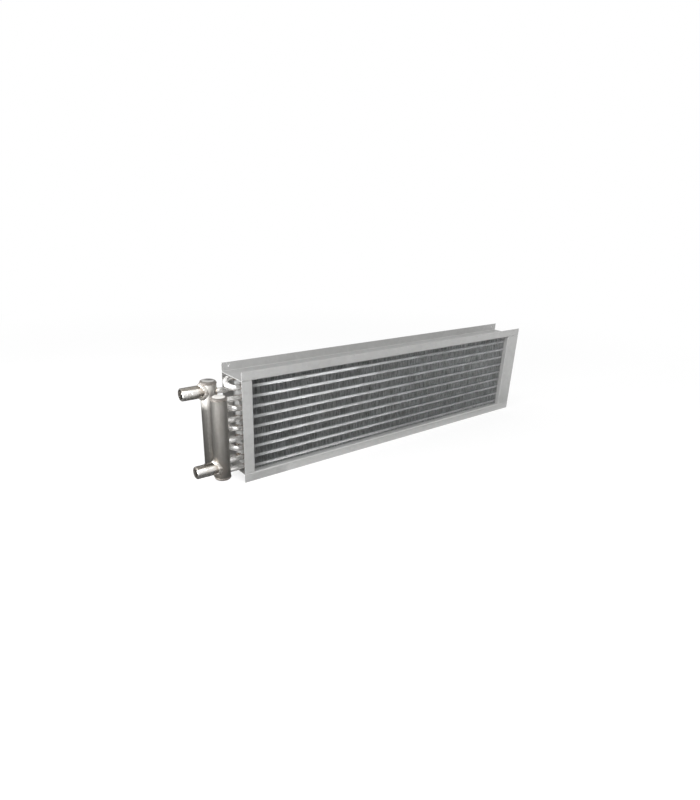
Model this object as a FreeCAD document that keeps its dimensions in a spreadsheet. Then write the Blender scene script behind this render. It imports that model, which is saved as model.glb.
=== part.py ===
import FreeCAD, Part
import os
import Sketcher

# Hot water heating coil for an air duct: a flanged sheet casing round a pack of
# plate fins, with the water tubes' bends at one end and two headers at the other.
# Frame: X along the casing, Y from the air inlet face to the outlet face, Z up.
# Origin: middle of the whole length and depth, on the ground under the lower flanges.

doc = FreeCAD.newDocument("HeatingCoil")

drivingSizes = {
    # Casing, folded from galvanised sheet
    "casing_length": 920,
    "casing_depth": 86,
    "sheet_thickness": 1.5,
    "bend_radius": 1.5,
    "flange_height": 20,
    "left_flange_width": 25,
    "right_flange_width": 45,
    "bolt_hole_diameter": 3.5,
    "bolt_hole_inset": 16,
    # Water tubes, in two staggered rows
    "tube_diameter": 12,
    "tube_levels": 9,
    "tube_pitch": 22.5,
    "row_pitch": 32,
    "stub_length": 10,
    "hairpin_stub": 6,
    "bend_leg": 11,
    # Fin pack
    "fin_depth": 60,
    "fin_overhang": 0.95,
    "fin_edge_gap": 0.3,
    "fin_grooves": 40,
    "fin_groove_width": 9,
    "fin_groove_depth": 4.5,
    # Headers
    "header_diameter": 33.7,
    "header_wall": 2.6,
    "header_offset": 42,
    "header_spacing": 45,
    "header_end_margin": 7,
    "rear_header_top_margin": 18,
    "cap_height": 5,
    "cap_round": 3.5,
    # Threaded nipples
    "nipple_diameter": 26.9,
    "nipple_wall": 2.6,
    "nipple_length": 60.5,
    "nipple_end_chamfer": 1.5,
    "thread_length": 20,
    "thread_relief": 0.4,
    "upper_nipple_drop": 16,
    "lower_nipple_rise": 23,
}

sheet = doc.addObject("Spreadsheet::Sheet", "Sizes")
for row, (alias, number) in enumerate(drivingSizes.items(), start=1):
    sheet.set(f"A{row}", alias.replace("_", " "))
    sheet.set(f"B{row}", str(number))
    sheet.setAlias(f"B{row}", alias)
doc.recompute()

# Places worked out from the driving sizes, as expressions on the sheet
casingLeft = "(Sizes.nipple_length + Sizes.header_offset - Sizes.casing_length) / 2"
casingRight = f"({casingLeft} + Sizes.casing_length)"
leftSheetFace = f"({casingLeft} + Sizes.left_flange_width)"
rightSheetFace = f"({casingRight} - Sizes.right_flange_width)"
finLength = "(Sizes.casing_length - Sizes.left_flange_width - Sizes.right_flange_width)"
finHeight = "(Sizes.tube_levels * Sizes.tube_pitch + 2 * Sizes.fin_overhang)"
innerHeight = f"({finHeight} + 2 * Sizes.fin_edge_gap)"
lowerPlateFace = "Sizes.flange_height"
upperPlateFace = f"({lowerPlateFace} + {innerHeight})"
halfDepth = "(Sizes.casing_depth / 2)"
tubeEnd = f"({leftSheetFace} - Sizes.stub_length)"
bottomLevel = (f"({lowerPlateFace} + Sizes.fin_edge_gap + Sizes.fin_overhang"
               f" + Sizes.tube_pitch / 4)")
headerAxis = f"({casingLeft} - Sizes.header_offset)"
outerBend = "(Sizes.bend_radius + Sizes.sheet_thickness)"

rowPlace = {"front": "(-Sizes.row_pitch / 2)", "rear": "(Sizes.row_pitch / 2)"}
rowRise = {"front": "0", "rear": "(Sizes.tube_pitch / 2)"}
headerPlace = {"front": "(-Sizes.header_spacing / 2)", "rear": "(Sizes.header_spacing / 2)"}

subParts = []


def value(expression):
    """The number that an expression on the sheet gives now."""
    result = doc.Sizes.evalExpression(expression)
    return float(getattr(result, "Value", result))


def bind(thing, prop, expression):
    thing.setExpression(prop, expression)


def place(thing, x="0", y="0", z="0", turnAxis=None, turn=None):
    """Bind a placement to the sheet: a base point, and a turn about one axis."""
    if turnAxis is not None:
        thing.Placement = FreeCAD.Placement(FreeCAD.Vector(), FreeCAD.Rotation(turnAxis, value(turn)))
        bind(thing, "Placement.Rotation.Angle", f"({turn}) * 1 deg")
    bind(thing, "Placement.Base.x", f"({x}) * 1 mm")
    bind(thing, "Placement.Base.y", f"({y}) * 1 mm")
    bind(thing, "Placement.Base.z", f"({z}) * 1 mm")


def newBody(name):
    body = doc.addObject("PartDesign::Body", name)
    body.Label = name
    subParts.append(body)
    return body


def originFeature(body, role):
    return next(item for item in body.Origin.OriginFeatures if item.Role == role)


def sketchOn(body, role, name):
    sketch = body.newObject("Sketcher::SketchObject", name)
    sketch.AttachmentSupport = (originFeature(body, role), [""])
    sketch.MapMode = "FlatFace"
    return sketch


def pinPoint(sketch, geometry, vertex, x, y):
    """Hold one point of a sketch at two expressions, measured from the sketch's origin."""
    for kind, expression in (("DistanceX", x), ("DistanceY", y)):
        constraint = Sketcher.Constraint(kind, -1, 1, geometry, vertex, value(expression))
        index = sketch.addConstraint(constraint)
        bind(sketch, f"Constraints[{index}]", expression)


def drawPolygon(sketch, corners):
    points = [FreeCAD.Vector(value(x), value(y), 0) for x, y in corners]
    for start, end in zip(points, points[1:] + points[:1]):
        sketch.addGeometry(Part.LineSegment(start, end), False)
    for index in range(len(points)):
        following = (index + 1) % len(points)
        sketch.addConstraint(Sketcher.Constraint("Coincident", index, 2, following, 1))
    for index, (x, y) in enumerate(corners):
        pinPoint(sketch, index, 1, x, y)


def drawCircle(sketch, x, y, diameter):
    centre = FreeCAD.Vector(value(x), value(y), 0)
    circle = Part.Circle(centre, FreeCAD.Vector(0, 0, 1), value(diameter) / 2)
    index = sketch.addGeometry(circle, False)
    pinPoint(sketch, index, 3, x, y)
    size = sketch.addConstraint(Sketcher.Constraint("Diameter", index, value(diameter)))
    bind(sketch, f"Constraints[{size}]", diameter)


def pad(body, sketch, name, length, backwards=False):
    feature = body.newObject("PartDesign::Pad", name)
    feature.Profile = sketch
    feature.Reversed = backwards
    bind(feature, "Length", length)
    doc.recompute()
    return feature


def pocketThrough(body, sketch, name, bothWays=False, backwards=False):
    feature = body.newObject("PartDesign::Pocket", name)
    feature.Profile = sketch
    feature.Type = "ThroughAll"
    feature.Midplane = bothWays
    feature.Reversed = backwards
    doc.recompute()
    return feature


def repeatAlong(body, feature, name, axisRole, spacing, count):
    pattern = body.newObject("PartDesign::LinearPattern", name)
    pattern.Originals = [feature]
    pattern.Direction = (originFeature(body, axisRole), [""])
    pattern.Mode = "Spacing"
    bind(pattern, "Offset", spacing)
    bind(pattern, "Occurrences", count)
    body.Tip = pattern
    doc.recompute()
    return pattern


def roundEdges(body, base, name, radius, wanted):
    """Round the edges of the last feature whose middle point passes the test."""
    names = []
    for number, edge in enumerate(base.Shape.Edges, start=1):
        middle = edge.valueAt((edge.FirstParameter + edge.LastParameter) / 2)
        if wanted(edge, middle):
            names.append(f"Edge{number}")
    feature = body.newObject("PartDesign::Fillet", name)
    feature.Base = (base, names)
    bind(feature, "Radius", radius)
    doc.recompute()
    return feature


def near(first, second):
    return abs(first - second) < 1e-3


def foldedBends(body, base, across, inward, alongAxis):
    """Round the two folds of a channel: the outside of the sheet, then the inside.

    across and inward read a point's place over the depth and away from the web."""
    length = value(alongAxis)
    outerFace = value(halfDepth)
    thickness = value("Sizes.sheet_thickness")

    def outside(edge, middle):
        return near(edge.Length, length) and near(abs(across(middle)), outerFace) and near(inward(middle), 0)

    def inside(edge, middle):
        return (near(edge.Length, length) and near(abs(across(middle)), outerFace - thickness)
                and near(inward(middle), thickness))

    outer = roundEdges(body, base, "FoldOutside", outerBend, outside)
    return roundEdges(body, outer, "FoldInside", "Sizes.bend_radius", inside)


def channelProfile(reach):
    """Corners of a channel's section as (over the depth, away from the web)."""
    t = "Sizes.sheet_thickness"
    return [
        (f"-{halfDepth}", "0"), (halfDepth, "0"),
        (halfDepth, reach), (f"{halfDepth} - {t}", reach),
        (f"{halfDepth} - {t}", t), (f"{t} - {halfDepth}", t),
        (f"{t} - {halfDepth}", reach), (f"-{halfDepth}", reach),
    ]


def makeLongChannel(name, up, plateFace):
    """Top or bottom of the casing: a plate with a flange turned outward at each edge."""
    body = newBody(name)
    profile = sketchOn(body, "YZ_Plane", "Profile")
    drawPolygon(profile, [(y, f"{up} * ({z})") for y, z in channelProfile("Sizes.flange_height")])
    channel = pad(body, profile, "Channel", "Sizes.casing_length")
    foldedBends(body, channel, lambda p: p.y, lambda p: up * p.z, "Sizes.casing_length")

    holes = sketchOn(body, "XZ_Plane", "BoltHoles")
    for x in ("Sizes.bolt_hole_inset", "Sizes.casing_length - Sizes.bolt_hole_inset"):
        middle = f"{up} * (Sizes.flange_height + {outerBend}) / 2"
        drawCircle(holes, x, middle, "Sizes.bolt_hole_diameter")
    pocketThrough(body, holes, "BoltHoleCut")
    place(body, x=casingLeft, z=plateFace)


def drillTubeHoles(body):
    """Holes for the two staggered rows of tubes, at every level."""
    rows = sketchOn(body, "YZ_Plane", "LowestTubes")
    for row in ("front", "rear"):
        height = f"{bottomLevel} + {rowRise[row]} - {lowerPlateFace}"
        drawCircle(rows, rowPlace[row], height, "Sizes.tube_diameter")
    cut = pocketThrough(body, rows, "LowestHoles", bothWays=True)
    repeatAlong(body, cut, "TubeHoles", "Z_Axis", "Sizes.tube_pitch", "Sizes.tube_levels")


def makeTubeSheet(name, outward, flangeWidth, face):
    """End of the fin pack: a drilled web with a flange turned outward at each edge."""
    body = newBody(name)
    profile = sketchOn(body, "XY_Plane", "Profile")
    drawPolygon(profile, [(f"{outward} * ({x})", y) for y, x in channelProfile(flangeWidth)])
    web = pad(body, profile, "Channel", innerHeight)
    foldedBends(body, web, lambda p: p.y, lambda p: outward * p.x, innerHeight)
    drillTubeHoles(body)
    place(body, x=face, z=lowerPlateFace)


def makeFinPack():
    """The stack of plate fins, drilled for the tubes, its edges grooved between fins."""
    body = newBody("fin_pack")
    half = "(Sizes.fin_depth / 2)"
    low = "Sizes.fin_edge_gap"
    high = f"({low} + {finHeight})"
    outline = sketchOn(body, "YZ_Plane", "FinOutline")
    drawPolygon(outline, [(f"-{half}", low), (half, low), (half, high), (f"-{half}", high)])
    pad(body, outline, "Stack", finLength)
    drillTubeHoles(body)

    groovePitch = f"({finLength} / (Sizes.fin_grooves + 1))"
    start = f"({groovePitch} - Sizes.fin_groove_width / 2)"
    end = f"({groovePitch} + Sizes.fin_groove_width / 2)"
    grooves = sketchOn(body, "XY_Plane", "FrontGroove")
    inner = f"({half} - Sizes.fin_groove_depth)"
    drawPolygon(grooves, [(start, f"-{half}"), (end, f"-{half}"), (end, f"-{inner}"), (start, f"-{inner}")])
    cut = pocketThrough(body, grooves, "FrontGrooveCut", backwards=True)
    repeatAlong(body, cut, "FrontGrooves", "X_Axis", groovePitch, "Sizes.fin_grooves")
    grooves = sketchOn(body, "XY_Plane", "RearGroove")
    drawPolygon(grooves, [(start, inner), (end, inner), (end, half), (start, half)])
    cut = pocketThrough(body, grooves, "RearGrooveCut", backwards=True)
    repeatAlong(body, cut, "RearGrooves", "X_Axis", groovePitch, "Sizes.fin_grooves")
    place(body, x=leftSheetFace, z=lowerPlateFace)


def makeBentTube(name, span, leg, bulge, x, y, z, turn):
    """A tube bent to a U: two legs joined by a half turn that bulges along X."""
    body = newBody(name)
    section = sketchOn(body, "YZ_Plane", "BendSection")
    drawCircle(section, f"{span} / 2", "0", "Sizes.tube_diameter")
    bend = body.newObject("PartDesign::Revolution", "Bend")
    bend.Profile = section
    bend.ReferenceAxis = (section, ["V_Axis"])
    bend.Angle = 180
    bend.Reversed = bulge > 0
    doc.recompute()

    ends = sketchOn(body, "YZ_Plane", "LegSections")
    drawCircle(ends, f"{span} / 2", "0", "Sizes.tube_diameter")
    drawCircle(ends, f"-{span} / 2", "0", "Sizes.tube_diameter")
    pad(body, ends, "Legs", leg, backwards=bulge > 0)
    place(body, x, y, z, FreeCAD.Vector(1, 0, 0), turn)


def levelHeight(row, level):
    """Height of a tube's axis, with the levels counted from the top."""
    return f"({bottomLevel} + (Sizes.tube_levels - {level}) * Sizes.tube_pitch + {rowRise[row]})"


# From a front tube to the rear tube half a pitch above it
crossSpan = "sqrt(pow(Sizes.row_pitch; 2) + pow(Sizes.tube_pitch / 2; 2))"
crossSlope = "atan(Sizes.tube_pitch / 2 / Sizes.row_pitch) / 1 deg"


def crossHeight(level):
    return f"({levelHeight('front', level)} + {levelHeight('rear', level)}) / 2"


def makeHairpins(circuits, lastLevel):
    """The long tubes: each is two passes through the fins with its bend at the right end."""
    start = f"({rightSheetFace} + Sizes.hairpin_stub)"
    leg = f"({start} - {tubeEnd})"
    for row in ("front", "rear"):
        for circuit in range(1, circuits + 1):
            middle = f"({levelHeight(row, 2 * circuit)} + Sizes.tube_pitch / 2)"
            makeBentTube(f"hairpin_{row}_{circuit}", "Sizes.tube_pitch", leg, 1,
                         start, rowPlace[row], middle, "90")
    if lastLevel:
        makeBentTube("hairpin_bottom", crossSpan, leg, 1, start, "0", crossHeight(lastLevel), crossSlope)


def makeReturnBends(circuits):
    """The short bends at the header end, from the front row up to the rear row."""
    start = f"({tubeEnd} - Sizes.bend_leg)"
    for circuit in range(1, circuits + 1):
        makeBentTube(f"return_bend_{circuit}", crossSpan, "Sizes.bend_leg", -1,
                     start, "0", crossHeight(2 * circuit - 1), crossSlope)


def makeFeeder(name, row, level):
    """A straight tube from a hairpin's end to its header, coped to the header's wall."""
    tube = doc.addObject("Part::Cylinder", name + "_tube")
    bind(tube, "Radius", "Sizes.tube_diameter / 2")
    bind(tube, "Height", f"{tubeEnd} - {headerAxis}")
    place(tube, headerAxis, rowPlace[row], levelHeight(row, level), FreeCAD.Vector(0, 1, 0), "90")
    wall = doc.addObject("Part::Cylinder", name + "_cope")
    bind(wall, "Radius", "Sizes.header_diameter / 2")
    bind(wall, "Height", "4 * Sizes.tube_diameter")
    place(wall, headerAxis, headerPlace[row], f"{levelHeight(row, level)} - 2 * Sizes.tube_diameter")
    feeder = doc.addObject("Part::Cut", name)
    feeder.Base = tube
    feeder.Tool = wall
    feeder.Label = name
    subParts.append(feeder)


def makeCap(name, row, z, up):
    """A dished disc that closes one end of a header."""
    body = newBody(name)
    disc = sketchOn(body, "XY_Plane", "Disc")
    drawCircle(disc, "0", "0", "Sizes.header_diameter")
    plate = pad(body, disc, "Plate", "Sizes.cap_height", backwards=up < 0)
    far = up * value("Sizes.cap_height")
    rim = roundEdges(body, plate, "Rim", "Sizes.cap_round", lambda edge, middle: near(middle.z, far))
    body.Tip = rim
    place(body, headerAxis, headerPlace[row], z)


def makeHeader(row, lowestLevel, topMargin, nippleHeight):
    """A vertical pipe from the second level to the lowest, with a hole for its nipple."""
    low = f"({levelHeight(row, lowestLevel)} - Sizes.header_end_margin)"
    high = f"({levelHeight(row, 2)} + {topMargin})"
    body = newBody(f"header_{row}")
    ring = sketchOn(body, "XY_Plane", "Ring")
    drawCircle(ring, "0", "0", "Sizes.header_diameter")
    drawCircle(ring, "0", "0", "Sizes.header_diameter - 2 * Sizes.header_wall")
    pad(body, ring, "Pipe", f"{high} - {low}")
    hole = sketchOn(body, "YZ_Plane", "NippleHole")
    drawCircle(hole, "0", f"{nippleHeight(low, high)} - {low}",
               "Sizes.nipple_diameter - 2 * Sizes.nipple_wall")
    pocketThrough(body, hole, "NippleHoleCut")
    place(body, headerAxis, headerPlace[row], low)
    makeCap(f"header_{row}_top_cap", row, high, 1)
    makeCap(f"header_{row}_bottom_cap", row, low, -1)
    makeNipple(f"nipple_{row}", row, nippleHeight(low, high))


def makeNipple(name, row, height):
    """A pipe stub, coped to the header, with a chamfered end turned down for its thread."""
    body = newBody(name)
    bore = "(Sizes.nipple_diameter / 2 - Sizes.nipple_wall)"
    outer = "(Sizes.nipple_diameter / 2)"
    thread = f"({outer} - Sizes.thread_relief)"
    tip = "Sizes.nipple_length"
    profile = sketchOn(body, "XZ_Plane", "Profile")
    drawPolygon(profile, [(f"-{x}", z) for x, z in (
        ("0", bore), ("0", outer), (f"({tip} - Sizes.thread_length)", outer),
        (f"({tip} - Sizes.thread_length)", thread), (f"({tip} - Sizes.nipple_end_chamfer)", thread),
        (tip, f"({thread} - Sizes.nipple_end_chamfer)"), (tip, bore))])
    turned = body.newObject("PartDesign::Revolution", "Turned")
    turned.Profile = profile
    turned.ReferenceAxis = (profile, ["H_Axis"])
    turned.Angle = 360
    doc.recompute()
    cope = sketchOn(body, "XY_Plane", "HeaderWall")
    drawCircle(cope, "0", "0", "Sizes.header_diameter")
    pocketThrough(body, cope, "Cope", bothWays=True)
    place(body, headerAxis, headerPlace[row], height)


def makeCircuits():
    levels = int(value("Sizes.tube_levels"))
    circuits = levels // 2
    lastLevel = levels if levels % 2 else 0
    makeHairpins(circuits, lastLevel)
    makeReturnBends(circuits)
    for circuit in range(1, circuits + 1):
        for row in ("front", "rear"):
            makeFeeder(f"feeder_{row}_{circuit}", row, 2 * circuit)
    if lastLevel:
        for row in ("front", "rear"):
            makeFeeder(f"feeder_{row}_{circuits + 1}", row, lastLevel)
    makeHeader("front", levels, "Sizes.header_end_margin",
               lambda low, high: f"({low} + Sizes.lower_nipple_rise)")
    makeHeader("rear", levels, "Sizes.rear_header_top_margin",
               lambda low, high: f"({high} - Sizes.upper_nipple_drop)")


makeLongChannel("casing_top", 1, upperPlateFace)
makeLongChannel("casing_bottom", -1, lowerPlateFace)
makeTubeSheet("tube_sheet_left", -1, "Sizes.left_flange_width", leftSheetFace)
makeTubeSheet("tube_sheet_right", 1, "Sizes.right_flange_width", rightSheetFace)
makeFinPack()
makeCircuits()
doc.recompute()

for item in doc.Objects:
    faults = {"Invalid", "Error"}.intersection(item.State)
    if faults:
        raise RuntimeError(f"{item.Label} is {sorted(faults)}")
for part in subParts:
    if part.Shape.isNull() or not part.Shape.isValid() or not part.Shape.Solids:
        raise RuntimeError(f"{part.Label} has no valid solid")

os.makedirs("parts", exist_ok=True)
for part in subParts:
    part.Shape.exportStep(f"parts/{part.Label}.step")
    box = part.Shape.BoundBox
    print(f"{part.Label:22s} solids {len(part.Shape.Solids)} volume {part.Shape.Volume:10.1f}"
          f"  x {box.XMin:7.1f} {box.XMax:7.1f}  y {box.YMin:6.1f} {box.YMax:6.1f}"
          f"  z {box.ZMin:6.1f} {box.ZMax:6.1f}")
print(len(subParts), "sub-parts written")
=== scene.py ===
import math

import bpy
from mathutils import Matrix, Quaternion, Vector, noise


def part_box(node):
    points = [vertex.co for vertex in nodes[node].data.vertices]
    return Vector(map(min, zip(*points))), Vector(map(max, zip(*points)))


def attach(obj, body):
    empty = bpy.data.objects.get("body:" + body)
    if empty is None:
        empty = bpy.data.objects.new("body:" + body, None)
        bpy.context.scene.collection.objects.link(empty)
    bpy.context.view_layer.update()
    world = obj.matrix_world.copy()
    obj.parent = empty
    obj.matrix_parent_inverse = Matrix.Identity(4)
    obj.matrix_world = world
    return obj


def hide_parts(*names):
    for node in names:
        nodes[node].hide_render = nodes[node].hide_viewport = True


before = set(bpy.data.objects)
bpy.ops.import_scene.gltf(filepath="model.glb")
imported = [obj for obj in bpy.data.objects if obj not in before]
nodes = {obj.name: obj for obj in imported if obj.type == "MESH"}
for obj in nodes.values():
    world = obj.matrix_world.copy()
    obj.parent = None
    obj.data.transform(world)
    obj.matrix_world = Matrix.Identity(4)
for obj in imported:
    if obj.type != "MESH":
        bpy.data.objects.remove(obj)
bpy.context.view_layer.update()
print("frame loaded with", len(nodes), "nodes")

# Places read from the frame, in metres
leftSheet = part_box("tube_sheet_left")
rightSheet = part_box("tube_sheet_right")
finLow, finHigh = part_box("fin_pack")
feederLow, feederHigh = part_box("feeder_front_1")
tubeRadius = (feederHigh.z - feederLow.z) / 2
tubeEnd = feederHigh.x
pipeRows = ("front", "rear")
wholeTurn = 2 * math.pi


def boxMiddle(name):
    low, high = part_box(name)
    return (low + high) / 2


def numbered(prefix):
    return sorted(name for name in nodes if name.startswith(prefix))


# Axes of the tubes over the depth and height: each long tube is a U with two legs
def legAxes():
    axes = []
    for name in numbered("hairpin_"):
        low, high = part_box(name)
        axes.append((low.y + tubeRadius, low.z + tubeRadius))
        axes.append((high.y - tubeRadius, high.z - tubeRadius))
    return axes


tubeAxes = legAxes()
frontLevels = sorted(z for y, z in tubeAxes if y < 0)
print("tubes:", len(tubeAxes), "front levels:", len(frontLevels))

middleShade = 0.5  # mean of a noise, and of the crystals' shades
mixFirst, mixSecond, mixResult = 6, 7, 2  # where the Mix node keeps its colour sockets


def addNode(tree, kind, **settings):
    node = tree.nodes.new(kind)
    for key, value in settings.items():
        if key.startswith("in_"):
            node.inputs[key.removeprefix("in_")].default_value = value
        else:
            setattr(node, key, value)
    return node


def newGroup(name, inputs, outputs):
    tree = bpy.data.node_groups.new(name, "ShaderNodeTree")
    tree.interface.new_socket("Vector", in_out="INPUT", socket_type="NodeSocketVector")
    for label, value in inputs.items():
        kind = "NodeSocketVector" if isinstance(value, tuple) else "NodeSocketFloat"
        tree.interface.new_socket(label, in_out="INPUT", socket_type=kind).default_value = value
    for label in outputs:
        tree.interface.new_socket(label, in_out="OUTPUT", socket_type="NodeSocketFloat")
    return tree, addNode(tree, "NodeGroupInput"), addNode(tree, "NodeGroupOutput")


def remap(tree, source, low, high, toLow=0.0, toHigh=1.0):
    node = addNode(tree, "ShaderNodeMapRange", interpolation_type="SMOOTHSTEP")
    node.inputs["From Min"].default_value = low
    node.inputs["From Max"].default_value = high
    node.inputs["To Min"].default_value = toLow
    node.inputs["To Max"].default_value = toHigh
    tree.links.new(source, node.inputs["Value"])
    return node.outputs["Result"]


def arithmetic(tree, operation, first, second):
    node = addNode(tree, "ShaderNodeMath", operation=operation)
    for socket, source in zip(node.inputs, (first, second)):
        if isinstance(source, (int, float)):
            socket.default_value = source
        else:
            tree.links.new(source, socket)
    return node.outputs[0]


def vectorMath(tree, operation, first, second=None):
    node = addNode(tree, "ShaderNodeVectorMath", operation=operation)
    tree.links.new(first, node.inputs[0])
    if second is not None:
        tree.links.new(second, node.inputs[1])
    return node.outputs["Value" if operation == "LENGTH" else "Vector"]


def texture(tree, kind, vector, scale=None, **settings):
    node = addNode(tree, kind, **settings)
    tree.links.new(vector, node.inputs["Vector"])
    if scale is not None:
        tree.links.new(scale, node.inputs["Scale"])
    return node


def clamped(tree, source):
    node = addNode(tree, "ShaderNodeClamp")
    tree.links.new(source, node.inputs["Value"])
    return node.outputs[0]


# A shade that varies round 1 by some amount
def aroundOne(tree, source, amount):
    spread = arithmetic(tree, "MULTIPLY", arithmetic(tree, "SUBTRACT", source, middleShade), amount)
    return arithmetic(tree, "ADD", spread, 1.0)


# Fine lines left by rolling, drawing or turning, long in the direction of small stretch
def makeGrainGroup():
    tree, given, made = newGroup("drawnGrain", {"Stretch": (1, 1, 1), "Scale": 900.0, "Amount": 0.1},
                                 ("Shade", "Height"))
    stretched = vectorMath(tree, "MULTIPLY", given.outputs["Vector"], given.outputs["Stretch"])
    lines = texture(tree, "ShaderNodeTexNoise", stretched, given.outputs["Scale"], in_Detail=5.0,
                    in_Roughness=0.65)
    tree.links.new(aroundOne(tree, lines.outputs["Fac"], given.outputs["Amount"]), made.inputs["Shade"])
    tree.links.new(lines.outputs["Fac"], made.inputs["Height"])
    return tree


# Crystals of zinc: cells with bent borders, each a little lighter or darker
def makeSpangleGroup():
    tree, given, made = newGroup("zincSpangle", {"Scale": 160.0, "Contrast": 0.1}, ("Shade", "Height"))
    warp = texture(tree, "ShaderNodeTexNoise", given.outputs["Vector"], in_Scale=240.0, in_Detail=2.0)
    push = addNode(tree, "ShaderNodeVectorMath", operation="SCALE", in_Scale=0.003)
    tree.links.new(warp.outputs["Color"], push.inputs[0])
    moved = vectorMath(tree, "ADD", given.outputs["Vector"], push.outputs[0])
    cells = texture(tree, "ShaderNodeTexVoronoi", moved, given.outputs["Scale"], feature="F1")
    parted = addNode(tree, "ShaderNodeSeparateColor")
    tree.links.new(cells.outputs["Color"], parted.inputs["Color"])
    tree.links.new(aroundOne(tree, parted.outputs["Red"], given.outputs["Contrast"]), made.inputs["Shade"])
    tree.links.new(parted.outputs["Green"], made.inputs["Height"])
    return tree


# Stains, dust or soot in soft patches, from none to the whole surface
def makePatchGroup():
    tree, given, made = newGroup("softPatches", {"Scale": 60.0, "Cover": 0.5, "Softness": 0.1}, ("Mask",))
    cloud = texture(tree, "ShaderNodeTexNoise", given.outputs["Vector"], given.outputs["Scale"],
                    in_Detail=6.0, in_Roughness=0.62)
    edge = arithmetic(tree, "SUBTRACT", 1.0, given.outputs["Cover"])
    above = arithmetic(tree, "SUBTRACT", cloud.outputs["Fac"], edge)
    slope = arithmetic(tree, "DIVIDE", above, given.outputs["Softness"])
    tree.links.new(clamped(tree, arithmetic(tree, "ADD", slope, middleShade)), made.inputs["Mask"])
    return tree


# Full at a place and gone at some distance from it, with a ragged edge: heat tint, soot, a rim, painted shade
# on a side and painted light fading along the fins
def makePlaceGroup():
    tree, given, made = newGroup(
        "placeMask",
        {"Centre": (0, 0, 0), "Direction": (1, 1, 1), "Near": 0.01, "Far": 0.02, "Ragged": 0.006}, ("Mask",))
    offset = vectorMath(tree, "SUBTRACT", given.outputs["Vector"], given.outputs["Centre"])
    picked = vectorMath(tree, "MULTIPLY", offset, given.outputs["Direction"])
    distance = vectorMath(tree, "LENGTH", picked)
    cloud = texture(tree, "ShaderNodeTexNoise", given.outputs["Vector"], in_Scale=160.0, in_Detail=4.0)
    centred = arithmetic(tree, "SUBTRACT", cloud.outputs["Fac"], middleShade)
    stray = arithmetic(tree, "MULTIPLY", centred, given.outputs["Ragged"])
    span = arithmetic(tree, "SUBTRACT", given.outputs["Far"], given.outputs["Near"])
    left = arithmetic(tree, "SUBTRACT", given.outputs["Far"], arithmetic(tree, "ADD", distance, stray))
    tree.links.new(clamped(tree, arithmetic(tree, "DIVIDE", left, span)), made.inputs["Mask"])
    return tree


grainGroup = makeGrainGroup()
spangleGroup = makeSpangleGroup()
patchGroup = makePatchGroup()
placeGroup = makePlaceGroup()


class Finish:
    def __init__(self, name, roughness, metallic):
        self.material = bpy.data.materials.new(name)
        self.material.use_nodes = True
        self.tree = self.material.node_tree
        self.shader = self.tree.nodes["Principled BSDF"]
        self.shader.inputs["Roughness"].default_value = roughness
        self.shader.inputs["Metallic"].default_value = metallic
        self.place = addNode(self.tree, "ShaderNodeTexCoord").outputs["Object"]

    def group(self, tree, **values):
        node = addNode(self.tree, "ShaderNodeGroup", node_tree=tree)
        self.tree.links.new(self.place, node.inputs["Vector"])
        for label, value in values.items():
            node.inputs[label].default_value = value
        return node

    def feed(self, socket, source):
        if isinstance(source, bpy.types.NodeSocket):
            self.tree.links.new(source, socket)
        elif isinstance(source, tuple):
            socket.default_value = (*source, 1.0)
        else:
            socket.default_value = source

    def blend(self, mask, first, second, mode="MIX"):
        node = addNode(self.tree, "ShaderNodeMix", data_type="RGBA", blend_type=mode)
        self.feed(node.inputs["Factor"], mask)
        self.feed(node.inputs[mixFirst], first)
        self.feed(node.inputs[mixSecond], second)
        return node.outputs[mixResult]

    def tint(self, colour, shade):
        return self.blend(1.0, colour, shade, "MULTIPLY")

    def tintPart(self, mask, colour, shade):
        return self.blend(mask, colour, self.tint(colour, shade))

    def colour(self, source):
        self.feed(self.shader.inputs["Base Color"], source)

    def roughness(self, mask, low, high):
        self.tree.links.new(remap(self.tree, mask, 0.0, 1.0, low, high), self.shader.inputs["Roughness"])

    def bump(self, *heights):
        normal = None
        for height, distance, strength in heights:
            node = addNode(self.tree, "ShaderNodeBump", in_Distance=distance, in_Strength=strength)
            self.tree.links.new(height, node.inputs["Height"])
            if normal is not None:
                self.tree.links.new(normal, node.inputs["Normal"])
            normal = node.outputs["Normal"]
        self.tree.links.new(normal, self.shader.inputs["Normal"])


def scaledColour(tone, cast):
    return tuple(tone * part for part in cast)


# In each finish: base is roughness and metallic, sheen the roughness from unmarked to marked,
# a bump its distance in metres and its strength, and a group's name holds that effect's inputs
galvanisedLook = {
    "base": (0.5, 0.45),
    "colour": (0.394, 0.394, 0.391),
    "spangle": {"Scale": 110.0, "Contrast": 0.06},
    "roll": {"Stretch": (0.05, 1.0, 1.0), "Scale": 700.0, "Amount": 0.08},
    "stain": {"Scale": 9.0, "Cover": 0.5, "Softness": 0.5},
    "stainTint": (0.92, 0.92, 0.91),
    "sheen": (0.44, 0.56),
    "spangleBump": (0.0002, 0.1),
    "rollBump": (0.0001, 0.12),
}


def galvanisedFinish():
    look = galvanisedLook
    finish = Finish("galvanisedSheet", *look["base"])
    spangle = finish.group(spangleGroup, **look["spangle"])
    roll = finish.group(grainGroup, **look["roll"])
    stain = finish.group(patchGroup, **look["stain"])
    bare = finish.tint(look["colour"], spangle.outputs["Shade"])
    rolled = finish.tint(bare, roll.outputs["Shade"])
    finish.colour(finish.tintPart(stain.outputs["Mask"], rolled, look["stainTint"]))
    finish.roughness(spangle.outputs["Height"], *look["sheen"])
    finish.bump((spangle.outputs["Height"], *look["spangleBump"]),
                (roll.outputs["Height"], *look["rollBump"]))
    return finish.material


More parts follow.
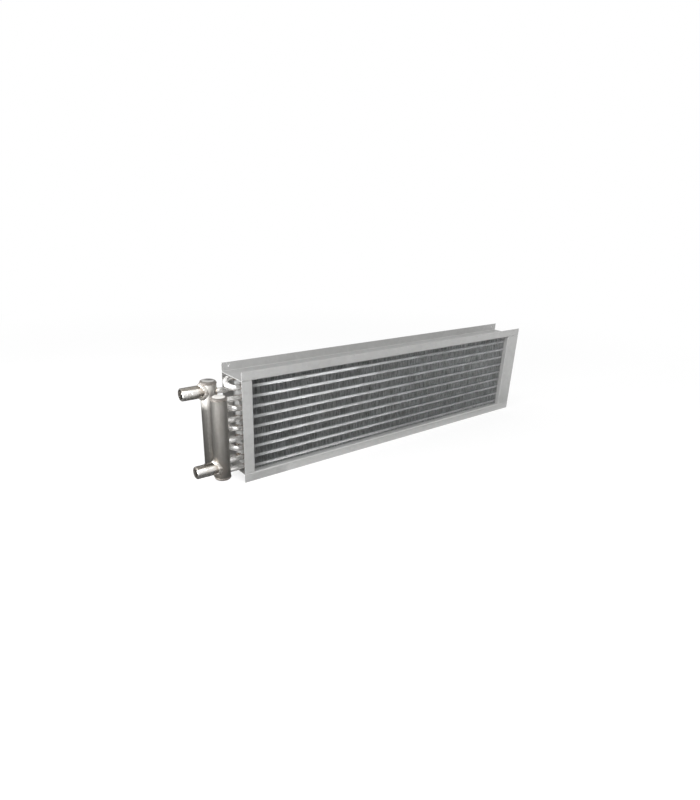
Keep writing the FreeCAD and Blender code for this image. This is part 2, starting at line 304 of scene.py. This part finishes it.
finLook = {
    "base": (0.4, 0.85),
    "bunch": {"Stretch": (1.0, 0.1, 0.12), "Scale": 360.0},
    "roll": {"Stretch": (1.0, 1.0, 0.06), "Scale": 1100.0, "Amount": 0.16},
    "dust": {"Scale": 26.0, "Cover": 0.46, "Softness": 0.3},
    "dustTint": (0.84, 0.84, 0.83),
    "dustSheen": 0.1,
    # along: how far the painted highlight and shade reach along the pack
    "along": {"Centre": (finLow.x, 0, 0), "Direction": (1, 0, 0), "Near": 0.0, "Far": 0.48, "Ragged": 0.04},
    "rollBump": (0.0001, 0.2),
}
finSurfacesPaintedFade = {  # colours at the headers' end and far from it, which paint a highlight on the lips that fades along the pack and paint the flats darker at the headers' end; spread of the bunches' shades, roughness
    "finAluminium": ((0.52, 0.53, 0.535), (0.62, 0.63, 0.635), 3.0, 0.38),
    "finLip": ((0.66, 0.665, 0.67), (0.265, 0.27, 0.275), 0.5, 0.5),
}


def finFinish(name):
    look = finLook
    nearColour, farColour, spread, smooth = finSurfacesPaintedFade[name]
    finish = Finish(name, *look["base"])
    bunch = finish.group(grainGroup, Amount=spread, **look["bunch"])
    roll = finish.group(grainGroup, **look["roll"])
    dust = finish.group(patchGroup, **look["dust"])
    along = finish.group(placeGroup, **look["along"])
    # Painted light: lips bright at the headers' end and dark far off, flats a little darker at the headers'
    # end
    paintedFade = finish.blend(along.outputs["Mask"], farColour, nearColour)
    clean = finish.tint(finish.tint(paintedFade, roll.outputs["Shade"]), bunch.outputs["Shade"])
    finish.colour(finish.tintPart(dust.outputs["Mask"], clean, look["dustTint"]))
    finish.roughness(dust.outputs["Mask"], smooth, smooth + look["dustSheen"])
    finish.bump((roll.outputs["Height"], *look["rollBump"]))
    return finish.material


tubeLook = {
    "base": (0.2, 0.7),
    "cast": (1.0, 0.99, 0.97),
    "drawn": {"Stretch": (0.08, 1.0, 1.0), "Scale": 900.0, "Amount": 0.14},
    "heat": {"Centre": (tubeEnd, 0, 0), "Direction": (1, 0, 0), "Near": 0.001, "Far": 0.009},
    "heatColour": (0.44, 0.36, 0.30),
    "soot": {"Scale": 210.0, "Cover": 0.40, "Softness": 0.24},
    "sootColour": (0.32, 0.30, 0.28),
    "sheen": (0.12, 0.3),
    "drawnBump": (0.0001, 0.15),
}
tubeTones = {"brightTube": 0.88, "socketTube": 0.95}


def tubeFinish(name):
    look = tubeLook
    finish = Finish(name, *look["base"])
    drawn = finish.group(grainGroup, **look["drawn"])
    heat = finish.group(placeGroup, **look["heat"])
    soot = finish.group(patchGroup, **look["soot"])
    clean = finish.tint(scaledColour(tubeTones[name], look["cast"]), drawn.outputs["Shade"])
    warm = finish.blend(heat.outputs["Mask"], clean, look["heatColour"])
    finish.colour(finish.blend(soot.outputs["Mask"], warm, look["sootColour"]))
    finish.roughness(soot.outputs["Mask"], *look["sheen"])
    finish.bump((drawn.outputs["Height"], *look["drawnBump"]))
    return finish.material


headerLook = {
    "base": (0.34, 0.85),
    "cast": (1.0, 0.97, 0.92),
    "drawn": {"Stretch": (1.0, 1.0, 0.04), "Scale": 420.0, "Amount": 0.5},
    "scale": {"Scale": 30.0, "Cover": 0.5, "Softness": 0.6},
    "scaleTint": (0.72, 0.70, 0.67),
    "paintedShadeSide": (-0.77, 0.64),  # middle of the side with painted shade, in radii from the pipe's axis
    "paintedShadeFade": 0.3,  # in radii
    "paintedShadeRagged": 0.004,
    # foot: painted shade, the pipe darker towards its bottom
    "foot": {"Centre": (0, 0, 0), "Direction": (0, 0, 1), "Near": 0.02, "Far": 0.17, "Ragged": 0.02},
    "footShadeTint": (0.66, 0.66, 0.65),
    "jointRagged": 0.014,
    "sheen": (0.3, 0.44),
    "drawnBump": (0.0001, 0.2),
    "scaleBump": (0.0003, 0.15),
}
headerTones = {  # the pipe, the painted shade on its outer side and how far that reaches, and the zone round the nipple's weld
    "front": {"tone": 0.3, "shade": 0.55, "reach": 1.2, "joint": (0.24, 0.215, 0.19), "jointNear": 0.013,
              "jointFar": 0.03},
    "rear": {"tone": 0.27, "shade": 0.42, "reach": 1.25, "joint": (0.64, 0.62, 0.59), "jointNear": 0.02,
             "jointFar": 0.04},
}


def headerFinish(row):
    look, tones = headerLook, headerTones[row]
    low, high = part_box(f"header_{row}")
    pipe = (low + high) / 2
    radius = (high.y - low.y) / 2
    sideX, sideY = look["paintedShadeSide"]
    reach, shade = tones["reach"], tones["shade"]
    finish = Finish(f"headerSteel_{row}", *look["base"])
    drawn = finish.group(grainGroup, **look["drawn"])
    scale = finish.group(patchGroup, **look["scale"])
    weld = finish.group(placeGroup, Centre=(low.x, pipe.y, boxMiddle(f"nipple_{row}").z),
                        Near=tones["jointNear"], Far=tones["jointFar"], Ragged=look["jointRagged"])
    # Painted shade: the pipe's colour is darker on its outer side
    sideShade = finish.group(placeGroup, Centre=(pipe.x + sideX * radius, pipe.y + sideY * radius, 0),
                         Direction=(1, 1, 0), Near=reach * radius, Far=(reach + look["paintedShadeFade"]) * radius,
                         Ragged=look["paintedShadeRagged"])
    # Painted shade towards the pipe's foot
    foot = finish.group(placeGroup, **look["foot"])
    bare = finish.tint(scaledColour(tones["tone"], look["cast"]), drawn.outputs["Shade"])
    sideShaded = finish.tintPart(sideShade.outputs["Mask"], bare, (shade, shade, shade))
    footShaded = finish.tintPart(foot.outputs["Mask"], sideShaded, look["footShadeTint"])
    scaled = finish.tintPart(scale.outputs["Mask"], footShaded, look["scaleTint"])
    finish.colour(finish.blend(weld.outputs["Mask"], scaled, tones["joint"]))
    finish.roughness(scale.outputs["Mask"], *look["sheen"])
    finish.bump((drawn.outputs["Height"], *look["drawnBump"]), (scale.outputs["Mask"], *look["scaleBump"]))
    return finish.material


capLook = {
    "base": (0.3, 0.1),
    "cast": (1.0, 0.98, 0.94),
    "turned": {"Stretch": (1.0, 1.0, 1.0), "Scale": 500.0, "Amount": 0.3},
    "disc": {"Direction": (1, 1, 0), "Near": 0.0120, "Far": 0.0136, "Ragged": 0.002},
    # soot: painted shade on the far side of the cap's disc
    "soot": {"Direction": (1, 1, 0), "Near": 0.010, "Far": 0.021, "Ragged": 0.008},
    "farShadePlace": Vector((0.011, 0.013, 0)),  # middle of the painted shade on the disc's far side, from the pipe's axis
    "rimColour": (0.10, 0.09, 0.08),
    "sheen": (0.5, 0.28),
    "turnedBump": (0.0002, 0.2),
    "discBump": (0.0005, 0.6),
}
capTones = {"front": (0.80, 0.85), "rear": (0.50, 0.22)}  # the disc, and its share left under the painted shade on its far side


def capFinish(row):
    look = capLook
    tone, farShadeTone = capTones[row]
    middle = boxMiddle(f"header_{row}")
    finish = Finish(f"capSteel_{row}", *look["base"])
    turned = finish.group(grainGroup, **look["turned"])
    disc = finish.group(placeGroup, Centre=middle, **look["disc"])
    soot = finish.group(placeGroup, Centre=middle + look["farShadePlace"], **look["soot"])
    bare = finish.tint(scaledColour(tone, look["cast"]), turned.outputs["Shade"])
    # Painted shade: the disc darker on its far side
    face = finish.tintPart(soot.outputs["Mask"], bare, (farShadeTone, farShadeTone, farShadeTone))
    finish.colour(finish.blend(disc.outputs["Mask"], look["rimColour"], face))
    finish.roughness(disc.outputs["Mask"], *look["sheen"])
    finish.bump((turned.outputs["Height"], *look["turnedBump"]), (disc.outputs["Mask"], *look["discBump"]))
    return finish.material


nippleLook = {
    "base": (0.3, 1.0),
    "colour": (0.84, 0.83, 0.81),
    "turned": {"Stretch": (1.0, 0.15, 0.15), "Scale": 900.0, "Amount": 0.3},
    "stain": {"Scale": 70.0, "Cover": 0.42, "Softness": 0.3},
    "stainColour": (0.55, 0.51, 0.46),
    # crown: painted shade along the pipe's top
    "crown": {"Direction": (0, 0, 1), "Near": 0.0028, "Far": 0.0065, "Ragged": 0.004},
    "crownShadeTint": (0.40, 0.38, 0.35),
    "weld": {"Centre": (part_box("header_front")[0].x, 0, 0), "Direction": (1, 0, 0), "Near": 0.002,
             "Far": 0.013, "Ragged": 0.012},
    "weldTint": (0.72, 0.66, 0.60),
    "sheen": (0.26, 0.4),
    "turnedBump": (0.0001, 0.25),
}


def nippleFinish(row):
    look = nippleLook
    finish = Finish(f"nippleSteel_{row}", *look["base"])
    turned = finish.group(grainGroup, **look["turned"])
    stain = finish.group(patchGroup, **look["stain"])
    weld = finish.group(placeGroup, **look["weld"])
    # Painted shade: the pipe darker along its top
    crown = finish.group(placeGroup, Centre=(0, 0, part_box(f"nipple_{row}")[1].z), **look["crown"])
    clean = finish.tint(look["colour"], turned.outputs["Shade"])
    marked = finish.blend(stain.outputs["Mask"], clean, look["stainColour"])
    crownShaded = finish.tintPart(crown.outputs["Mask"], marked, look["crownShadeTint"])
    finish.colour(finish.tintPart(weld.outputs["Mask"], crownShaded, look["weldTint"]))
    finish.roughness(stain.outputs["Mask"], *look["sheen"])
    finish.bump((turned.outputs["Height"], *look["turnedBump"]))
    return finish.material


weldLook = {
    "metallic": 1.0,
    "lumps": {"Scale": 420.0, "Cover": 0.5, "Softness": 0.5},
    "lumpSheen": 0.2,
    "lumpBump": (0.0005, 0.5),
    "burn": {"Scale": 120.0, "Cover": 0.46, "Softness": 0.3},
}
weldMetals = {  # colour, burnt colour and roughness
    "steelWeld": ((0.30, 0.275, 0.25), (0.13, 0.115, 0.105), 0.42),
    "brightWeld": ((0.52, 0.50, 0.47), (0.20, 0.18, 0.16), 0.46),
    "brazeMetal": ((0.72, 0.66, 0.55), (0.36, 0.29, 0.23), 0.28),
}


def weldFinish(name):
    look = weldLook
    colour, burnt, smooth = weldMetals[name]
    finish = Finish(name, smooth, look["metallic"])
    lumps = finish.group(patchGroup, **look["lumps"])
    burn = finish.group(patchGroup, **look["burn"])
    finish.colour(finish.blend(burn.outputs["Mask"], colour, burnt))
    finish.roughness(lumps.outputs["Mask"], smooth, smooth + look["lumpSheen"])
    finish.bump((lumps.outputs["Mask"], *look["lumpBump"]))
    return finish.material


casingMaterial = galvanisedFinish()
finMaterial = finFinish("finAluminium")
lipMaterial = finFinish("finLip")
tubeMaterial = tubeFinish("brightTube")
socketMaterial = tubeFinish("socketTube")
nippleMaterials = {row: nippleFinish(row) for row in pipeRows}
capWeldMaterial = weldFinish("steelWeld")
nippleWeldMaterial = weldFinish("brightWeld")
brazeMaterial = weldFinish("brazeMetal")
headerMaterials = {row: headerFinish(row) for row in pipeRows}
capMaterials = {row: capFinish(row) for row in pipeRows}


def nodeMaterial(name):
    if name.startswith(("casing", "tube_sheet")):
        return casingMaterial
    if name.startswith("header"):
        row = name.split("_")[1]
        return capMaterials[row] if name.endswith("cap") else headerMaterials[row]
    return nippleMaterials[name.split("_")[1]] if name.startswith("nipple") else tubeMaterial


for name, item in nodes.items():
    item.data.materials.clear()
    item.data.materials.append(nodeMaterial(name))
print("materials made")


def makePiece(name, points, faces, material, sharpAngle):
    mesh = bpy.data.meshes.new(name)
    mesh.from_pydata(points, [], faces)
    mesh.update()
    mesh.shade_smooth()
    mesh.set_sharp_from_angle(angle=math.radians(sharpAngle))
    mesh.materials.append(material)
    piece = bpy.data.objects.new(name, mesh)
    bpy.context.scene.collection.objects.link(piece)
    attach(piece, "root")
    return piece


def gridFaces(rows, columns, start=0, closeRows=False, closeColumns=False):
    faces = []
    for row in range(rows if closeRows else rows - 1):
        for column in range(columns if closeColumns else columns - 1):
            nextRow = (row + 1) % rows
            nextColumn = (column + 1) % columns
            faces.append((start + row * columns + column, start + row * columns + nextColumn,
                          start + nextRow * columns + nextColumn, start + nextRow * columns + column))
    return faces


# Fins: thin plates whose edges are turned over in a short lip at every tube level
finSet = {
    "pitch": 0.0023,
    "thickness": 0.00018,
    "endGap": 0.0012,
    "stacks": 3,
    "lipDepth": 0.0022,
    "lipTurn": 0.0020,
    "lipProfile": ((-0.0052, 0.0), (-0.0030, 1.0), (0.0014, 1.0), (0.0026, 0.0)),  # height, share of turn
    "lipFacing": 0.96,  # a face that leans more than this from the flat of the fin is part of a lip
    "lipRise": 0.0034,  # a lip's middle over the tube's axis
    "edgeProfile": ((0, 1.0, 1.0), (1, 0.0, 0.5), (3, 0.0, 0.0)),  # lip depths in, shares of turn and sway
    "sway": 0.0002,
    "swayReach": 0.006,
    "swayDepths": 3,  # waves per metre
    "swayHeights": 14,
    "sharpAngle": 30,
}


def finHeights():
    heights = [(finLow.z, 0.0)]
    for level in frontLevels:
        heights += [(level + finSet["lipRise"] + rise, share) for rise, share in finSet["lipProfile"]]
    heights.append((finHigh.z, 0.0))
    return heights


def finDepths():
    front = [(finLow.y + lips * finSet["lipDepth"], share, sway)
             for lips, share, sway in finSet["edgeProfile"]]
    rear = [(finLow.y + finHigh.y - y, share, sway) for y, share, sway in reversed(front)]
    return front + rear


def finMesh(place, points, faces):
    heights = finHeights()
    depths = finDepths()
    start = len(points)
    for side in (-1, 1):
        for depth, share, sway in depths:
            for height, turn in heights:
                wave = Vector((place / finSet["swayReach"], depth * finSet["swayDepths"],
                               height * finSet["swayHeights"]))
                bend = noise.noise(wave) * sway * finSet["sway"]
                x = place + share * turn * finSet["lipTurn"] + side * finSet["thickness"] / 2
                points.append((x + bend, depth, height))
    rows, columns = len(depths), len(heights)
    half = rows * columns
    faces += gridFaces(rows, columns, start)
    faces += [tuple(reversed(face)) for face in gridFaces(rows, columns, start + half)]
    rim = [start + row * columns for row in range(rows)]
    rim += [start + (rows - 1) * columns + column for column in range(1, columns)]
    rim += [start + row * columns + columns - 1 for row in range(rows - 2, -1, -1)]
    rim += [start + column for column in range(columns - 2, 0, -1)]
    for one, two in zip(rim, rim[1:] + rim[:1]):
        faces.append((one, two, two + half, one + half))


def isLip(face):
    inside = min(face.center.y - finLow.y, finHigh.y - face.center.y) > 0
    return inside and abs(face.normal.x) < finSet["lipFacing"]


def makeFins():
    span = finHigh.x - finLow.x - 2 * finSet["endGap"] - finSet["lipTurn"]
    count = int(span / finSet["pitch"]) + 1
    stacks = finSet["stacks"]
    for stack in range(stacks):
        points = []
        faces = []
        for index in range(stack * count // stacks, (stack + 1) * count // stacks):
            finMesh(finLow.x + finSet["endGap"] + index * span / (count - 1), points, faces)
        piece = makePiece(f"fins_{stack + 1}", points, faces, finMaterial, finSet["sharpAngle"])
        piece.data.materials.append(lipMaterial)
        for face in piece.data.polygons:
            face.material_index = int(isLip(face))
        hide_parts("fin_pack")
    print("fins:", count)


makeFins()

# Rings round the tubes, each profile a list of places along X and heights over the tube's surface
collarSet = {  # drawn out of the end sheets: places outward from a sheet's outer face
    "sheet": 0.0015,
    "profile": ((0.0, 0.0024), (0.00045, 0.0013), (0.0018, 0.0008), (0.0018, 0.0001), (0.0, 0.0001)),
}
socketSet = {  # flared ends at the tubes' joints and the brazing in them: places from the tubes' end
    "flare": ((0.0042, 0.0001), (0.00252, 0.0006), (-0.0002, 0.0009), (-0.0008, 0.0007), (-0.0006, 0.0001)),
    "braze": ((-0.0006, 0.0006), (-0.0014, 0.0005), (-0.0022, 0.0001), (-0.0006, 0.0001)),
}
ringSet = {"sides": 24, "sharpAngle": 50}


# The profile in the order that turns every face outward
def outwardProfile(profile):
    area = sum(x * nextRadius - nextX * radius
               for (x, radius), (nextX, nextRadius) in zip(profile, profile[1:] + profile[:1]))
    return profile[::-1] if area > 0 else profile


def makeRings(name, origin, outward, heights, material):
    profile = outwardProfile([(origin + outward * along, tubeRadius + rise) for along, rise in heights])
    sides = ringSet["sides"]
    points = []
    faces = []
    for y, z in tubeAxes:
        faces += gridFaces(len(profile), sides, len(points), closeRows=True, closeColumns=True)
        for x, radius in profile:
            for side in range(sides):
                angle = wholeTurn * side / sides
                points.append((x, y + radius * math.cos(angle), z + radius * math.sin(angle)))
    makePiece(name, points, faces, material, ringSet["sharpAngle"])


makeRings("collars_left", leftSheet[1].x - collarSet["sheet"], -1, collarSet["profile"], casingMaterial)
makeRings("collars_right", rightSheet[0].x + collarSet["sheet"], 1, collarSet["profile"], casingMaterial)
makeRings("tube_sockets", tubeEnd, 1, socketSet["flare"], socketMaterial)
makeRings("socket_braze", tubeEnd, 1, socketSet["braze"], brazeMaterial)
print("collars and sockets made")

# Rippled beads round the caps' seams and the feeders' joints
beadSet = {
    "sides": 10,
    "ripple": 0.16,
    "ripples": 26,
    "lumps": 0.22,
    "lumpRate": 3,
    "sharpAngle": 80,
    "capSteps": 96,
    "capSize": 0.0012,
    "capInset": 0.0002,
    "capSeeds": (2.0, 3.0),  # lower and upper cap
    "feederSteps": 48,
    "feederSize": 0.0013,
    "feederLift": 0.0003,
    "feederSeedRate": 100,  # by height, so that no two feeders have the same lumps
}


# The line where a feeder meets the upright header
def saddleLine(feeder, radius, pipe, headerRadius):
    line = []
    for step in range(beadSet["feederSteps"]):
        angle = wholeTurn * step / beadSet["feederSteps"]
        across = feeder.y + radius * math.cos(angle)
        reach = math.sqrt(headerRadius ** 2 - (across - pipe.y) ** 2)
        line.append(Vector((pipe.x + reach, across, feeder.z + radius * math.sin(angle))))
    return line


def ringLine(pipe, radius, z):
    turns = [wholeTurn * step / beadSet["capSteps"] for step in range(beadSet["capSteps"])]
    return [Vector((pipe.x + radius * math.cos(turn), pipe.y + radius * math.sin(turn), z))
            for turn in turns]


def beadMesh(line, size, seed, points, faces):
    start = len(points)
    steps = len(line)
    sides = beadSet["sides"]
    middle = sum(line, Vector()) / steps
    for step, point in enumerate(line):
        along = (line[(step + 1) % steps] - line[step - 1]).normalized()
        out = point - middle
        out = (out - along * out.dot(along)).normalized()
        up = along.cross(out)
        turn = wholeTurn * step / steps
        phase = wholeTurn * beadSet["ripples"] * step / steps
        lump = noise.noise(Vector((math.cos(turn), math.sin(turn), seed)) * beadSet["lumpRate"])
        radius = size * (1 + beadSet["ripple"] * math.sin(phase) + beadSet["lumps"] * lump)
        for side in range(sides):
            angle = wholeTurn * side / sides
            points.append(tuple(point + (out * math.cos(angle) + up * math.sin(angle)) * radius))
    faces += gridFaces(steps, sides, start, closeRows=True, closeColumns=True)


# Fillet welds where a nipple meets its header, wide on both pipes and rippled along the seam
filletSet = {
    "steps": 120,
    "leg": 0.0046,
    "belly": 0.2,
    "shares": (0.0, 0.25, 0.5, 0.75, 1.0),  # places across the weld, from the header to the nipple
    "ripple": 0.09,
    "ripples": 34,
    "lumps": 0.35,
    "lumpRate": 4,
    "sink": 0.0001,
    "rootDepth": 0.001,
    "sharpAngle": 80,
    "seeds": {"front": 1.3, "rear": 4.1},
}


def filletMesh(middle, radius, pipe, headerRadius, seed):
    points = []
    skin = headerRadius - filletSet["sink"]
    for step in range(filletSet["steps"]):
        angle = wholeTurn * step / filletSet["steps"]
        spoke = Vector((0, math.cos(angle), math.sin(angle)))
        wave = filletSet["ripple"] * math.sin(filletSet["ripples"] * angle)
        place = Vector((spoke.y, spoke.z, seed)) * filletSet["lumpRate"]
        leg = filletSet["leg"] * (1 + wave + filletSet["lumps"] * noise.noise(place))
        turn = math.asin(radius * spoke.y / headerRadius)
        joint = Vector((pipe.x - headerRadius * math.cos(turn), pipe.y, middle.z)) + spoke * radius
        flat = Vector((headerRadius * turn, radius * spoke.z))
        flat += flat.normalized() * leg
        turn = flat.x / headerRadius
        onHeader = Vector((pipe.x - skin * math.cos(turn), pipe.y + skin * math.sin(turn),
                           middle.z + flat.y))
        onNipple = joint - Vector((leg, 0, 0)) - spoke * filletSet["sink"]
        away = ((onHeader + onNipple) / 2 - joint).normalized() * leg * filletSet["belly"]
        for share in filletSet["shares"]:
            points.append(tuple(onHeader.lerp(onNipple, share) + away * math.sin(math.pi * share)))
        points.append(tuple(joint + Vector((filletSet["rootDepth"], 0, 0)) - spoke * filletSet["rootDepth"]))
    columns = len(filletSet["shares"]) + 1
    return points, gridFaces(filletSet["steps"], columns, closeRows=True, closeColumns=True)


def makeWelds(row):
    low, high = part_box(f"header_{row}")
    pipe = (low + high) / 2
    headerRadius = (high.y - low.y) / 2
    nippleLow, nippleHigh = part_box(f"nipple_{row}")
    nippleRadius = (nippleHigh.z - nippleLow.z) / 2
    points, faces = filletMesh((nippleLow + nippleHigh) / 2, nippleRadius, pipe, headerRadius,
                               filletSet["seeds"][row])
    makePiece(f"nipple_weld_{row}", points, faces, nippleWeldMaterial, filletSet["sharpAngle"])
    points = []
    faces = []
    for height, seed in zip((low.z, high.z), beadSet["capSeeds"]):
        line = ringLine(pipe, headerRadius - beadSet["capInset"], height)
        beadMesh(line, beadSet["capSize"], seed, points, faces)
    makePiece(f"cap_welds_{row}", points, faces, capWeldMaterial, beadSet["sharpAngle"])
    points = []
    faces = []
    for name in numbered(f"feeder_{row}"):
        feeder = boxMiddle(name)
        line = saddleLine(feeder, tubeRadius + beadSet["feederLift"], pipe, headerRadius)
        beadMesh(line, beadSet["feederSize"], feeder.z * beadSet["feederSeedRate"], points, faces)
    makePiece(f"feeder_braze_{row}", points, faces, brazeMaterial, beadSet["sharpAngle"])


for row in pipeRows:
    makeWelds(row)
print("welds and brazing made")

# Pipe threads: a closed sleeve whose outside rises and falls once for each turn of its pitch
threadSet = {
    "pitch": 0.001814,
    "height": 0.00036,
    "perTurn": 48,
    "perPitch": 6,
    "landLength": 0.0185,
    "landCut": 0.0004,  # how far the land is turned down from the pipe
    "lift": 0.00002,
    "chamfer": 0.0015,
    "fade": 0.0016,
    "wall": 0.0003,
    "sharpAngle": 80,
}


def makeThread(row):
    low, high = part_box(f"nipple_{row}")
    middle = (low + high) / 2
    root = (high.z - low.z) / 2 - threadSet["landCut"] + threadSet["lift"]
    length = threadSet["landLength"]
    rows = int(length / threadSet["pitch"] * threadSet["perPitch"])
    points = []

    def addPoint(along, turn, radius):
        angle = wholeTurn * turn
        points.append((low.x + threadSet["chamfer"] + along, middle.y + radius * math.cos(angle),
                       middle.z + radius * math.sin(angle)))

    turns = [side / threadSet["perTurn"] for side in range(threadSet["perTurn"])]
    for index in range(rows + 1):
        along = length * index / rows
        fade = min(1.0, along / threadSet["fade"], (length - along) / threadSet["fade"])
        for turn in turns:
            phase = (along / threadSet["pitch"] + turn) % 1.0
            addPoint(along, turn, root + (1 - abs(2 * phase - 1)) * threadSet["height"] * fade)
    innerPlaces = (length, 0.0)
    for along in innerPlaces:
        for turn in turns:
            addPoint(along, turn, root - threadSet["wall"])
    faces = gridFaces(rows + 1 + len(innerPlaces), len(turns), closeRows=True, closeColumns=True)
    makePiece(f"thread_{row}", points, faces, nippleMaterials[row], threadSet["sharpAngle"])


for row in pipeRows:
    makeThread(row)
print("threads made")

# Studio: white all round, a pale floor that keeps the shadow, soft lamps
studioSet = {
    "matt": (0.9, 0.0),  # roughness and metallic of the floor and sheets
    "white": (1.0, 1.0, 1.0, 1.0),
    "floorHalf": 8.0,
    "floorColour": (0.94, 0.94, 0.94),
    "floorGlow": (0.72, 1.0),  # share of plain white in what the camera and reflections see, near and far
    "glowReach": (0.5, 2.2),
    "worldStrength": 0.64,
}
sheetSet = {  # sheets that only reflections see, on the floor and upright behind the headers
    "matColour": (0.05, 0.05, 0.05),
    "matHeight": 0.0006,
    "rampHeight": 0.0003,  # below the dark sheets, so that they hide it
    "rampColours": ((0.05, 0.05, 0.05), (0.60, 0.60, 0.60)),  # at the headers' foot and further out
    "rampReach": (0.08, 0.55),
    "rampOutline": ((-1.0, -0.8), (-0.3, -0.8), (-0.3, 0.02), (-1.0, 0.02)),
    "cardFoot": ((-0.55, 0.62), (0.0, 0.80)),
    "cardHeights": (0.001, 0.6),
}
matOutlines = {
    "matBehind": ((-0.95, -0.36), (-0.60, -0.09), (-0.60, -0.12), (-0.46, -0.12), (-0.46, 0.03), (0.62, 0.03),
                  (0.62, 0.8), (-0.95, 0.8)),
    "matRight": ((-0.35, -0.07), (0.62, -0.07), (0.62, -0.75), (-0.14, -0.75)),
}
lampSet = {  # place, aim, size, power
    "keyLamp": ((-0.4, -1.8, 2.7), (0, 0, 0.1), (1.4, 1.0), 43),
    "leftLamp": ((-1.9, -0.95, 0.55), (-0.4, 0, 0.1), (0.6, 0.6), 8.5),
    "recessLamp": ((-1.5, -0.28, 0.30), (-0.41, 0, 0.12), (0.4, 0.4), 16),
    "endLamp": ((-1.5, 0.40, 0.35), (-0.41, 0, 0.12), (0.4, 0.4), 17),
    "rightLamp": ((2.0, -1.4, 1.3), (0, 0, 0.1), (1.0, 1.0), 9),
}


def seenDirectly(tree):
    path = addNode(tree, "ShaderNodeLightPath")
    seen = arithmetic(tree, "MAXIMUM", path.outputs["Is Camera Ray"], path.outputs["Is Glossy Ray"])
    return arithmetic(tree, "MAXIMUM", seen, path.outputs["Is Transmission Ray"])


def stageSheet(name, outline, material):
    mesh = bpy.data.meshes.new(name)
    mesh.from_pydata(outline, [], [tuple(range(len(outline)))])
    mesh.materials.append(material)
    sheet = bpy.data.objects.new(name, mesh)
    bpy.context.scene.collection.objects.link(sheet)
    return sheet


def reflectedSheet(name, outline, material):
    sheet = stageSheet(name, outline, material)
    sheet.visible_camera = False
    sheet.visible_diffuse = False
    sheet.visible_shadow = False


def makeFloor():
    half = studioSet["floorHalf"]
    finish = Finish("paleFloor", *studioSet["matt"])
    finish.colour(studioSet["floorColour"])
    tree = finish.tree
    glow = addNode(tree, "ShaderNodeEmission")
    mix = addNode(tree, "ShaderNodeMixShader")
    fromMiddle = vectorMath(tree, "LENGTH", finish.place)
    share = remap(tree, fromMiddle, *studioSet["glowReach"], *studioSet["floorGlow"])
    tree.links.new(arithmetic(tree, "MULTIPLY", seenDirectly(tree), share), mix.inputs[0])
    tree.links.new(finish.shader.outputs[0], mix.inputs[1])
    tree.links.new(glow.outputs[0], mix.inputs[2])
    tree.links.new(mix.outputs[0], tree.nodes["Material Output"].inputs["Surface"])
    outline = [(-half, -half, 0), (half, -half, 0), (half, half, 0), (-half, half, 0)]
    stageSheet("floor", outline, finish.material)


# Dark at the headers' foot and pale further out
def makeRampSheet():
    finish = Finish("rampSheet", *studioSet["matt"])
    near, far = sheetSet["rampReach"]
    mask = finish.group(placeGroup, Centre=(boxMiddle("header_front").x, 0, 0), Near=near, Far=far, Ragged=0.0)
    dark, pale = sheetSet["rampColours"]
    finish.colour(finish.blend(mask.outputs["Mask"], pale, dark))
    outline = [(x, y, sheetSet["rampHeight"]) for x, y in sheetSet["rampOutline"]]
    reflectedSheet("rampBefore", outline, finish.material)


def makeDarkSheets():
    finish = Finish("darkSheet", *studioSet["matt"])
    finish.colour(sheetSet["matColour"])
    for name, corners in matOutlines.items():
        reflectedSheet(name, [(x, y, sheetSet["matHeight"]) for x, y in corners], finish.material)
    start, end = sheetSet["cardFoot"]
    foot, top = sheetSet["cardHeights"]
    reflectedSheet("cardBehind", [(*start, foot), (*end, foot), (*end, top), (*start, top)], finish.material)


def makeWorld():
    world = bpy.data.worlds.new("studio")
    bpy.context.scene.world = world
    world.use_nodes = True
    tree = world.node_tree
    backdrop = tree.nodes["Background"]
    backdrop.inputs["Color"].default_value = studioSet["white"]
    strength = remap(tree, seenDirectly(tree), 0.0, 1.0, studioSet["worldStrength"], 1.0)
    tree.links.new(strength, backdrop.inputs["Strength"])


def addLamp(name, place, aim, size, power):
    light = bpy.data.lights.new(name, "AREA")
    light.shape = "RECTANGLE"
    light.size, light.size_y = size
    light.energy = power
    lamp = bpy.data.objects.new(name, light)
    lamp.location = place
    lamp.rotation_mode = "QUATERNION"
    lamp.rotation_quaternion = (Vector(aim) - Vector(place)).to_track_quat("-Z", "Y")
    bpy.context.scene.collection.objects.link(lamp)


makeFloor()
makeDarkSheets()
makeRampSheet()
makeWorld()
for name, settings in lampSet.items():
    addLamp(name, *settings)

# Camera: where the photograph was taken from, with the lens axis a little off the frame's middle
cameraSet = {
    "place": (-0.92672, -1.00367, 0.55453),
    "heading": 39.82,
    "downward": 23.94,
    "roll": 2.49,
    "focalPixels": 556.6,
    "axisPixel": (347.55, 453.5),
    "framePixels": (700, 800),
    "sensor": 36.0,
}


def makeCamera():
    data = bpy.data.cameras.new("photoCamera")
    camera = bpy.data.objects.new("photoCamera", data)
    bpy.context.scene.collection.objects.link(camera)
    wide, tall = cameraSet["framePixels"]
    axisX, axisY = cameraSet["axisPixel"]
    data.sensor_width = cameraSet["sensor"]
    data.lens = cameraSet["focalPixels"] * cameraSet["sensor"] / max(wide, tall)
    data.shift_x = (wide / 2 - axisX) / max(wide, tall)
    data.shift_y = (axisY - tall / 2) / max(wide, tall)
    turn = Quaternion((0, 0, 1), -math.radians(cameraSet["heading"]))
    tilt = Quaternion((1, 0, 0), math.radians(90 - cameraSet["downward"]))
    roll = Quaternion((0, 0, 1), math.radians(cameraSet["roll"]))
    camera.rotation_mode = "QUATERNION"
    camera.rotation_quaternion = turn @ tilt @ roll
    camera.location = cameraSet["place"]
    bpy.context.scene.camera = camera


makeCamera()
bpy.context.scene.view_settings.view_transform = "Standard"
print("studio and camera made")
